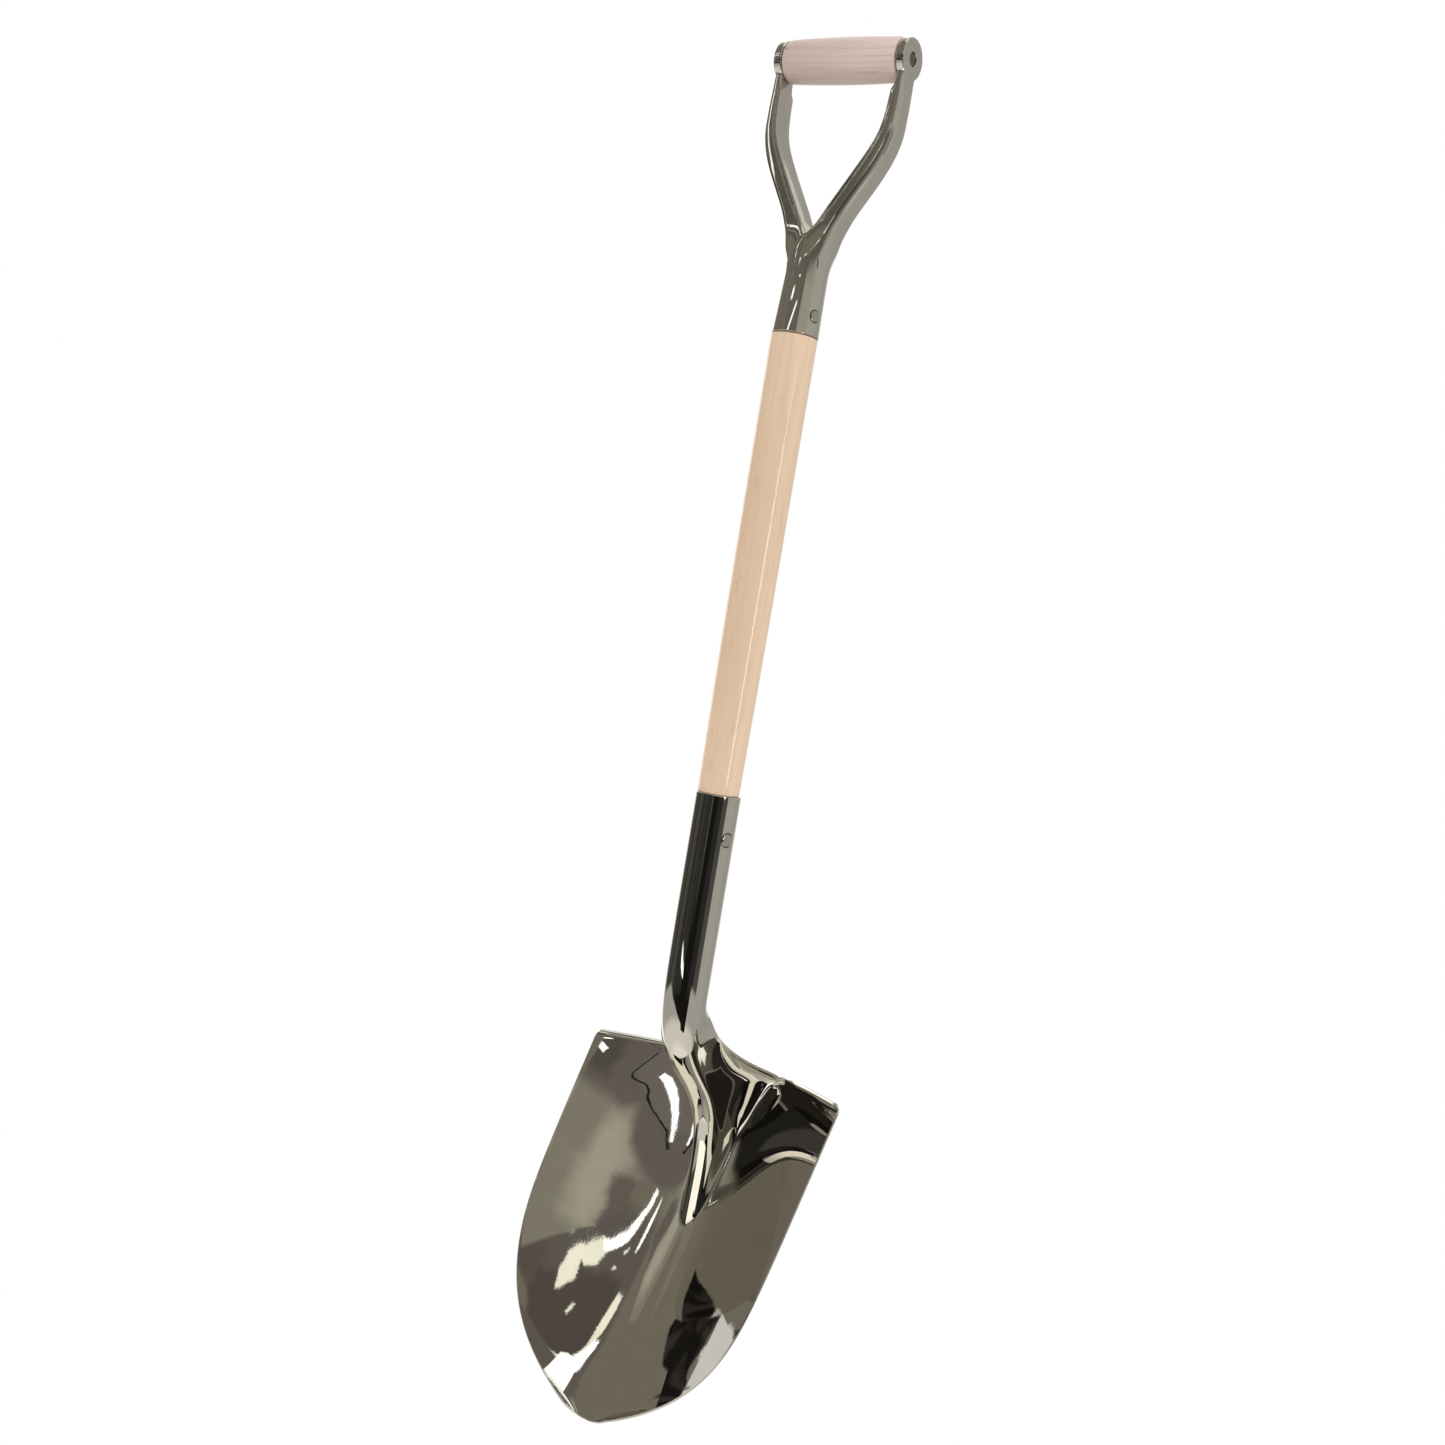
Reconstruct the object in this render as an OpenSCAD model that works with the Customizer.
// Round-point digging shovel with a D-handle: polished steel blade and socket,
// hardwood shaft, steel yoke with a turned hardwood cross grip.
// Millimetres.  Origin at the centre of the cross grip, +Z up away from the
// blade, +X along the cross grip to the user's right, blade hollow facing -Y.
// A "drop" is a depth below the centre of the cross grip.

/* [Overall] */
// Height from the centre of the cross grip down to the point of the blade
point_drop = 984.6; // [940:1:1040]
// How far the shaft line stands in front of the centre of the cross grip
grip_setback = 9; // [0:0.5:14]

/* [Cross grip] */
// Width over the outer faces of the two end discs
grip_width = 106.2; // [100:0.2:124]
// Thickness of each end disc
disc_thick = 6.6; // [5:0.1:8]
// Diameter of each end disc
disc_d = 29.4; // [27:0.2:33]
// Diameter of the wooden barrel at its middle
barrel_d_mid = 32.0; // [29:0.2:36]
// Diameter of the wooden barrel at its ends
barrel_d_end = 29.2; // [27:0.2:33]
// Diameter of the through rod in the cross grip
rod_d = 9.6; // [7:0.1:11]

/* [Yoke] */
// Height from the cross grip centre down to the ferrule mouth
ferrule_drop = 198.2; // [185:0.2:215]
// Outer diameter of the ferrule at its mouth
ferrule_d = 34.6; // [33:0.1:38]
// Sheet thickness at the ferrule mouth
ferrule_wall = 1.2; // [0.8:0.1:2]
// Depth of an arm, front to back
arm_depth = 19.2; // [16:0.2:22]
// Height of the crotch between the arms, below the cross grip centre
crotch_drop = 129; // [122:1:134]

/* [Shaft] */
// Diameter of the shaft just below the yoke
shaft_d = 33.9; // [32:0.1:36]
// Height at which the shaft begins to taper towards the socket
taper_drop = 390; // [300:5:460]

/* [Blade and socket] */
// Height from the cross grip centre down to the socket mouth
socket_drop = 529.4; // [500:1:560]
// Outer diameter of the socket
socket_d = 33.7; // [32:0.1:36]
// Sheet thickness of blade and socket
sheet = 1.8; // [1.4:0.1:2.4]
// Width of the open seam at the back of the socket
seam = 1.4; // [0.8:0.1:3]
// Height down to the foot steps on the shoulders
shoulder_drop = 738; // [728:1:748]
// Half width of the blade at the shoulders
half_blade = 110; // [100:1:118]
// Radius of the rounded shoulder corners
corner_r = 5; // [3:0.5:8]
// How far the dish lies behind the shaft line below the neck
dish_back = 82; // [74:0.5:90]
// Height of the rolled foot step
step_h = 5.4; // [4:0.2:7]

/* [Rivets] */
// Shank diameter of both through rivets
rivet_d = 5; // [4:0.1:6]
// Head diameter of both rivets
rivet_head_d = 9; // [7:0.2:11]
// Turn of both rivets from the line of the cross grip towards the front
rivet_turn = 14; // [0:1:20]
// Height of the yoke rivet below the cross grip centre
yoke_rivet_drop = 184.3; // [178:0.5:190]
// Height of the socket rivet below the cross grip centre
socket_rivet_drop = 560; // [548:1:580]

/* [Show] */
// Sub-part to draw

/* [Hidden] */
$fn = 64;
steel = [0.72, 0.71, 0.68];
rivet_steel = [0.62, 0.61, 0.58];
rod_steel = [0.42, 0.41, 0.40];
shaft_wood = [0.80, 0.62, 0.42];
grip_wood = [0.80, 0.70, 0.60];

socket_r = socket_d/2;
bore_r = socket_r - sheet;
grip_half = grip_width/2;
lean = asin(grip_setback/ferrule_drop);    // tilt of the yoke onto the shaft line

// ---- helpers ----
function clamp(x) = min(1, max(0, x));
function smooth(x) = let(part = clamp(x)) part*part*(3 - 2*part);
function sigmoid(x) = 1/(1 + exp(-x));
function mix(from, to, part) = from*(1 - part) + to*part;
function soft_min(one, other, blend) =
    let(part = clamp(0.5 + 0.5*(other - one)/blend))
    other + (one - other)*part - blend*part*(1 - part);
function bezier(start, lead, trail, end, part) = pow(1 - part, 3)*start
    + 3*pow(1 - part, 2)*part*lead + 3*(1 - part)*part*part*trail + pow(part, 3)*end;
function reverse(list) = [for (i = [len(list) - 1:-1:0]) list[i]];
// two triangles over corners given in order round the quad
function quad(a, b, c, d) = [[a, b, c], [a, c, d]];

// solid through equal rings of points, listed ring after ring
module loft(points, ring_size, flip = false) {
    last = len(points)/ring_size - 1;
    faces = concat(
        [for (j = [0:last - 1]) for (k = [0:ring_size - 1])
            let(this = j*ring_size, below = this + ring_size, next = (k + 1)%ring_size)
            each quad(this + k, this + next, below + next, below + k)],
        [[for (k = [ring_size - 1:-1:0]) k]],
        [[for (k = [0:ring_size - 1]) last*ring_size + k]]);
    polyhedron(points = points, faces = flip ? [for (face = faces) reverse(face)] : faces,
        convexity = 6);
}

module on_shaft_line() translate([0, -grip_setback, 0]) children();
module on_yoke_line() rotate([-lean, 0, 0]) children();
module rivet_hole(drop) translate([0, 0, -drop]) rotate([0, 90, -rivet_turn])
    cylinder(d = rivet_d, h = 60, center = true);

// ---- blade surface, about the shaft line ----
tube_end = 654;      // the rolled tube runs down to here
neck_start = 670;    // the seam starts to open here
neck_run = 62;       // from the shoulders down to the foot of the neck
edge_bend = 128;     // from the shoulders down to the bend in the side edge
edge_bend_r = 30;    // softness of that bend
vee_round = 0.22;    // rounding of the V across the dish
fillet_x = 45;       // outer end of the crown fillet at the shoulders
merge_start = 768;   // from here the section turns into heights over the dish
merge_end = 800;
crease_end = 861;    // the blend of crown and dish is sharpest from here down
last_row = 978.4;    // lowest row at the side edge

// half width of the blade
function x_edge(drop) = let(
    part = clamp((drop - shoulder_drop)/(point_drop - shoulder_drop)),
    width = (half_blade - 9*part)*pow(1 - pow(part, 5.9), 0.9),
    corner = corner_r - min(corner_r, max(0, drop - shoulder_drop + 0.5)))
    width - (corner_r - sqrt(corner_r*corner_r - corner*corner));
// the side edge, seen from the side: steep at the shoulder, flatter to the point
function y_edge(drop) = let(below = drop - shoulder_drop, past = below - edge_bend)
    57.5 - 0.27*below
    - 0.1315*(below + edge_bend - sqrt(past*past + edge_bend_r*edge_bend_r));
// floor of the dish along the middle
function y_floor(drop) = let(below = drop - shoulder_drop - neck_run)
    dish_back - 0.38*below - 0.00145*below*below;
// rounded V across the dish and its slope, 0 in the middle and 1 at the side edge
vee_scale = sqrt(1 + vee_round*vee_round) - vee_round;
function vee(x) = (sqrt(x*x + vee_round*vee_round) - vee_round)/vee_scale;
function vee_slope(x) = x/sqrt(x*x + vee_round*vee_round)/vee_scale;
function dish(across, drop) = y_floor(drop) - (y_floor(drop) - y_edge(drop))*vee(across);
// front line and radius of the crown that carries the socket into the dish
function y_crown(drop) = let(below = drop - shoulder_drop)
    -socket_r + 75*sigmoid((below - 6)/16) - 0.52*ln(1 + exp((below - neck_run)/8));
function r_crown(drop) = socket_r - 5.8*sigmoid((drop - shoulder_drop + 13)/16);
// free edge of the open neck: [x, y, heading]
function flare(drop) = let(part = clamp((drop - neck_start)/(shoulder_drop - neck_start)))
    [seam/2 + 14*smooth(part/0.45) + 30*pow(part, 3.2),
     socket_r + 69*pow(part, 3.4) - 0.01,
     180 - 200*smooth(pow(part, 0.8))];
// outer end of the fillet between crown and dish
function x_fillet(drop) = fillet_x - 27*pow(clamp((drop - shoulder_drop)/neck_run), 0.85);

// columns of the half section, counted from the middle
crown_cols = 6;
fillet_cols = 7;
wing_cols = 8;
neck_cols = crown_cols + fillet_cols;
blade_cols = neck_cols + wing_cols;

// [x, y] of a column at a given drop
function crown_point(col, drop) = let(r = r_crown(drop), angle = 90*col/crown_cols)
    [r*sin(angle), y_crown(drop) + r - r*cos(angle)];
function fillet_point(col, drop) = let(
    r = r_crown(drop),
    open = drop < shoulder_drop,
    free = flare(drop),
    edge = x_edge(drop),
    x = open ? free[0] : x_fillet(drop),
    y = open ? free[1] : dish(x/edge, drop),
    slope = -(y_floor(drop) - y_edge(drop))*vee_slope(x/edge)/edge,
    heading = open ? [cos(free[2]), sin(free[2])] : [1, slope]/norm([1, slope]),
    start = [r, y_crown(drop) + r],
    end = [x, y],
    // handle lengths as for a quarter circle
    lead = 0.5523*max(abs(y - start[1]), 4),
    trail = 0.5523*max(abs(x - r), 4))
    bezier(start, start + [0, lead], end - heading*trail, end, (col - crown_cols)/fillet_cols);
function upper_point(col, drop) =
    col <= crown_cols ? crown_point(col, drop) : fillet_point(col, drop);
// the same columns taken as heights over the dish, used below the neck
function lower_point(col, drop) = let(
    r = r_crown(drop),
    edge = x_edge(drop),
    outer = x_fillet(drop),
    inner = max(r, 11.3),
    spread = col <= crown_cols ? inner*sin(90*col/crown_cols)
        : inner + (outer - inner)*pow((col - crown_cols)/fillet_cols, 1.3),
    x = spread*min(1, 0.6*edge/outer),
    ridge = y_crown(drop) + x*x/(2*r) + pow(x, 4)/(2*pow(r, 3)),
    blend = mix(8, 1.5, clamp((drop - merge_end)/(crease_end - merge_end))))
    [x, soft_min(ridge, dish(x/edge, drop), blend)];
function inner_point(col, drop) =
    let(part = smooth((drop - merge_start)/(merge_end - merge_start)))
    part <= 0 ? upper_point(col, drop)
    : part >= 1 ? lower_point(col, drop)
    : mix(upper_point(col, drop), lower_point(col, drop), part);
function wing_point(col, drop) = let(
    edge = x_edge(drop),
    x = mix(inner_point(neck_cols, drop)[0], edge, (col - neck_cols)/wing_cols))
    [x, dish(x/edge, drop)];
function half_section(col, drop) =
    col <= neck_cols ? inner_point(col, drop) : wing_point(col, drop);

// drops of the rows of the shell
neck_rows = concat([tube_end - 2, tube_end - 0.6, tube_end + 1], [for (z = [660:8:700]) z],
    [for (z = [704:5:734]) z]);
blade_rows = concat([for (z = [0.01, 2, 5, 9]) shoulder_drop + z], [for (z = [752:10:872]) z],
    [for (z = [884:11:950]) z], [960, 967, 973, last_row]);

// the last rows bow downwards to round the point
function bow(drop) = (point_drop - last_row)*smooth((drop - 900)/(last_row - 900));
tuck = 0.15;         // the top rows lie this far inside both faces of the tube wall
// front face, negative columns on the left
function front_point(col, drop) = let(
    point = half_section(abs(col), drop),
    inset = drop < tube_end ? (socket_r - tuck)/socket_r : 1,
    across = drop > shoulder_drop ? point[0]/x_edge(drop) : 1,
    middle = 1 - across*across,
    sag = drop > shoulder_drop ? bow(drop)*middle : 0,
    y = sag > 0 ? point[1] + (y_floor(drop + sag) - y_floor(drop))*middle : point[1])
    [sign(col)*point[0]*inset, y*inset, -drop - sag];
// unit normal towards the back, from differences of the surface
function normal(col, drop) = let(
    reach = 0.4,
    gap = 0.001,
    open = drop < shoulder_drop,
    limit = open ? neck_cols : blade_cols,
    lower = min(drop + reach, open ? shoulder_drop - gap : last_row),
    upper = open ? drop - reach : max(drop - reach, shoulder_drop + gap),
    along = front_point(min(col + 1, limit), drop) - front_point(max(col - 1, -limit), drop),
    down = front_point(col, lower) - front_point(col, upper),
    out = cross(along, down))
    out/norm(out);
function back_point(col, drop) = let(point = front_point(col, drop))
    drop < tube_end ?
        let(scale = (bore_r + tuck)/(socket_r - tuck)) [point[0]*scale, point[1]*scale, point[2]]
    : point + normal(col, drop)*sheet;

// point numbers: all front points row by row, then all back points
neck_count = len(neck_rows);
neck_width = 2*neck_cols + 1;
blade_width = 2*blade_cols + 1;
face_points = neck_count*neck_width + len(blade_rows)*blade_width;
function index(row, col) = row < neck_count ? row*neck_width + col + neck_cols
    : neck_count*neck_width + (row - neck_count)*blade_width + col + blade_cols;
function row_cols(row) = row < neck_count ? neck_cols : blade_cols;
// edge wall from the front face to the back face
function wall(a, b) = quad(a, a + face_points, b + face_points, b);

// sheet of the neck and blade
module shell() {
    places = concat(
        [for (drop = neck_rows) for (i = [-neck_cols:neck_cols]) [i, drop]],
        [for (drop = blade_rows) for (i = [-blade_cols:blade_cols]) [i, drop]]);
    front = [for (place = places) front_point(place[0], place[1])];
    back = [for (place = places) back_point(place[0], place[1])];
    last = neck_count + len(blade_rows) - 1;
    // corners of each cell: upper left, upper right, lower right, lower left
    cells = [for (j = [0:last - 1]) let(w = row_cols(j)) for (i = [-w:w - 1])
        [index(j, i), index(j, i + 1), index(j + 1, i + 1), index(j + 1, i)]];
    faces = concat(
        [for (c = cells) each quad(c[0], c[1], c[2], c[3])],
        [for (c = cells) let(b = [for (k = c) k + face_points]) each quad(b[0], b[3], b[2], b[1])],
        // top end and point
        [for (i = [-neck_cols:neck_cols - 1]) each wall(index(0, i), index(0, i + 1))],
        [for (i = [-blade_cols:blade_cols - 1]) each wall(index(last, i + 1), index(last, i))],
        // shoulders
        [for (i = [-blade_cols:-neck_cols - 1])
            each wall(index(neck_count, i), index(neck_count, i + 1))],
        [for (i = [neck_cols:blade_cols - 1])
            each wall(index(neck_count, i), index(neck_count, i + 1))],
        // left and right sides
        [for (j = [0:last - 1]) let(w = row_cols(j)) each wall(index(j + 1, -w), index(j, -w))],
        [for (j = [0:last - 1]) let(w = row_cols(j)) each wall(index(j, w), index(j + 1, w))]);
    polyhedron(points = concat(front, back), faces = faces, convexity = 10);
}

// rolled foot step on one shoulder, a flattened bead along the top edge
step_start = 48;     // inner end, from the middle
step_parts = 9;
step_sides = 12;
module foot_step(side) {
    points = [for (k = [0:step_parts]) let(
            x = mix(step_start, half_blade - 3.5, k/step_parts),
            swell = mix(0.35, 1, smooth((x - step_start)/25)),
            y = dish(x/half_blade, shoulder_drop) - 2.2*swell + sheet*0.4,
            z = -shoulder_drop + 1.2*swell - 1.2)
        for (a = [0:step_sides - 1]) let(angle = 360*a/step_sides)
            [side*x, y + 3.6*swell*cos(angle), z + step_h/2*swell*sin(angle)]];
    loft(points, step_sides, flip = side > 0);
}

// rolled tube with its seam at the back
module socket_tube() {
    tube_h = tube_end - socket_drop;
    translate([0, 0, -tube_end]) difference() {
        cylinder(r = socket_r, h = tube_h);
        translate([0, 0, -1]) cylinder(r = bore_r, h = tube_h + 2);
        translate([-seam/2, 0, -1]) cube([seam, socket_r + 1, tube_h + 2]);
    }
}
module blade() color(steel) on_shaft_line() {
    difference() {
        socket_tube();
        rivet_hole(socket_rivet_drop);
    }
    shell();
    foot_step(1);
    foot_step(-1);
}

// ---- shaft ----
seat_top = 152;      // top of the turned seat inside the ferrule
mouth_r = ferrule_d/2 - ferrule_wall;
seat_r = 14.2;       // bore radius of the yoke near the top of the seat
shaft_end = 662;     // foot of the shaft inside the socket
fit = 0.05;          // clearance between wood and steel
module shaft() color(shaft_wood) difference() {
    on_shaft_line() union() {
        rotate_extrude() polygon([
            [0, -ferrule_drop - 1.2],
            [shaft_d/2 - 0.3, -ferrule_drop - 1.2],
            [shaft_d/2, -ferrule_drop - 1.7],
            [shaft_d/2 - 0.45, -taper_drop],
            [bore_r + 0.15, -socket_drop + 0.6],
            [bore_r - fit, -socket_drop - 0.4],
            [bore_r - fit, -640],
            [bore_r - 1.2, -shaft_end],
            [0, -shaft_end]]);
        translate([0, 0, -ferrule_drop]) on_yoke_line() rotate_extrude() polygon([
            [0, ferrule_drop - seat_top],
            [seat_r - fit - 1, ferrule_drop - seat_top],
            [seat_r - fit, ferrule_drop - seat_top - 1],
            [mouth_r - fit, 0.4],
            [mouth_r - fit, -3],
            [0, -3]]);
    }
    on_shaft_line() rivet_hole(socket_rivet_drop);
    on_yoke_line() rivet_hole(yoke_rivet_drop);
}

// ---- yoke ----
neck_r = 15.95;      // ferrule radius just below the crotch
ferrule_top = 156;
arm_top = grip_half - 0.5;    // outer face of an arm at its top
arm_bulge = 1.6;     // outward bow below the disc
arm_foot = 19.6;     // outer face where the arms have closed in
arm_swell = 1.2;     // gain in half depth down the arm
arm_start = 6;
arm_end = 158;
arm_parts = 24;
arm_sides = 28;
half_overlap = 1.6;  // the half rounds reach this far past the middle

// outer and inner outline of the right arm, and its half depth; the arm bows
// outwards below the disc, closes in to the crotch and runs into the round ferrule
function arm_out(drop) = arm_top + arm_bulge*smooth(drop/36)
    - (arm_top + arm_bulge - arm_foot)*smooth(pow(clamp((drop - 44)/90), 1.15))
    - (arm_foot - neck_r)*smooth((drop - 132)/26);
function arm_in(drop) = let(
    below = drop - crotch_drop + 74.4,
    bar = arm_top - 6.7 - 0.305*(below + sqrt(below*below + 188)),
    disc_face = grip_half - disc_thick + 0.1)
    max(-0.4, mix(disc_face, bar, smooth((drop - 13)/14)));
function arm_half(drop) = arm_depth/2 + arm_swell*smooth((drop - 20)/80)
    + (neck_r - arm_depth/2 - arm_swell)*smooth((drop - 112)/46);
function squarish(x) = sign(x)*pow(abs(x), 0.62);
// right arm: rounded bar above, half round below where the two arms meet
module arm() {
    points = [for (j = [0:arm_parts]) let(
            drop = mix(arm_start, arm_end, j/arm_parts),
            outer = arm_out(drop),
            inner = arm_in(drop),
            depth = arm_half(drop),
            part = smooth((drop - 112)/40))
        for (k = [0:arm_sides - 1]) let(
            turn = 360*(k + 0.5)/arm_sides,
            bar = [(outer + inner)/2 + (outer - inner)/2*squarish(cos(turn)),
                depth*squarish(sin(turn))],
            back = turn <= 180,
            angle = back ? turn/2 : (360 - turn)/2,
            round = [(outer + half_overlap)*cos(angle) - half_overlap,
                (back ? 1 : -1)*depth*sin(angle)],
            point = mix(bar, round, part))
            [point[0], point[1], -drop]];
    loft(points, arm_sides);
}
// disc along X, outer face at x = 0
module end_disc() {
    chamfer = 0.8;
    rim = 2;
    rotate([0, 90, 0]) rotate_extrude() polygon(concat(
        [[0, -disc_thick], [disc_d/2 - chamfer, -disc_thick], [disc_d/2, -disc_thick + chamfer]],
        [for (a = [0:15:90]) [disc_d/2 - rim + rim*cos(a), -rim + rim*sin(a)]],
        [[0, 0]]));
}
module yoke_side() {
    arm();
    translate([grip_half, 0, 0]) end_disc();
}
module yoke() color(steel) on_yoke_line() difference() {
    union() {
        rotate_extrude() polygon([[0, -ferrule_drop], [ferrule_d/2, -ferrule_drop],
            [neck_r, -ferrule_top], [0, -ferrule_top]]);
        yoke_side();
        mirror([1, 0, 0]) yoke_side();
    }
    rotate_extrude() polygon([[0, -ferrule_drop - 1], [mouth_r, -ferrule_drop - 1],
        [mouth_r, -ferrule_drop + 0.4], [seat_r, -seat_top + 1],
        [seat_r - 1, -seat_top + 1.6], [0, -seat_top + 1.6]]);
    rivet_hole(yoke_rivet_drop);
    rotate([0, 90, 0]) cylinder(d = rod_d, h = grip_width + 10, center = true);
}

// ---- fasteners ----
yoke_rivet_r = 16.8; // ferrule radius taken under the yoke rivet heads
// through rivet: shank with a low button head at each end
module rivet(drop, wall_r) {
    under_head = -wall_r + 0.55;
    head = concat(
        [for (a = [0:15:90]) [rivet_head_d/2*sin(a), -wall_r - 0.1 - cos(a)]],
        [[rivet_head_d/2, under_head], [rivet_d/2, under_head]]);
    translate([0, 0, -drop]) rotate([0, 0, -rivet_turn]) rotate([0, 90, 0]) rotate_extrude()
        polygon(concat(head, [for (p = reverse(head)) [p[0], -p[1]]]));
}
module socket_rivet() color(rivet_steel) on_shaft_line() rivet(socket_rivet_drop, socket_r);
module yoke_rivet() color(rivet_steel) on_yoke_line() rivet(yoke_rivet_drop, yoke_rivet_r);

// ---- cross grip ----
module cross_grip() color(grip_wood) {
    half = grip_half - disc_thick - 0.05;
    end_r = barrel_d_end/2;
    bulge = barrel_d_mid/2 - end_r;
    bevel = 1.2;
    rotate([0, 90, 0]) difference() {
        rotate_extrude() polygon(concat([[0, -half], [end_r - bevel, -half]],
            [for (k = [-10:10])
                [end_r + bulge*pow(cos(90*k/10.6), 0.8), k/10*(half - bevel)]],
            [[end_r - bevel, half], [0, half]]));
        cylinder(d = rod_d + 0.1, h = 2*half + 4, center = true);
    }
}
module grip_rod() color(rod_steel) {
    half = grip_half - 0.3;
    r = rod_d/2 - 0.02;
    tip_r = rod_d/2 - 0.8;
    rotate([0, 90, 0]) rotate_extrude() polygon([[0, -half], [tip_r, -half],
        [r, -half + 0.8], [r, half - 0.8], [tip_r, half], [0, half]]);
}

blade();
shaft();
socket_rivet();
yoke();
yoke_rivet();
cross_grip();
grip_rod();
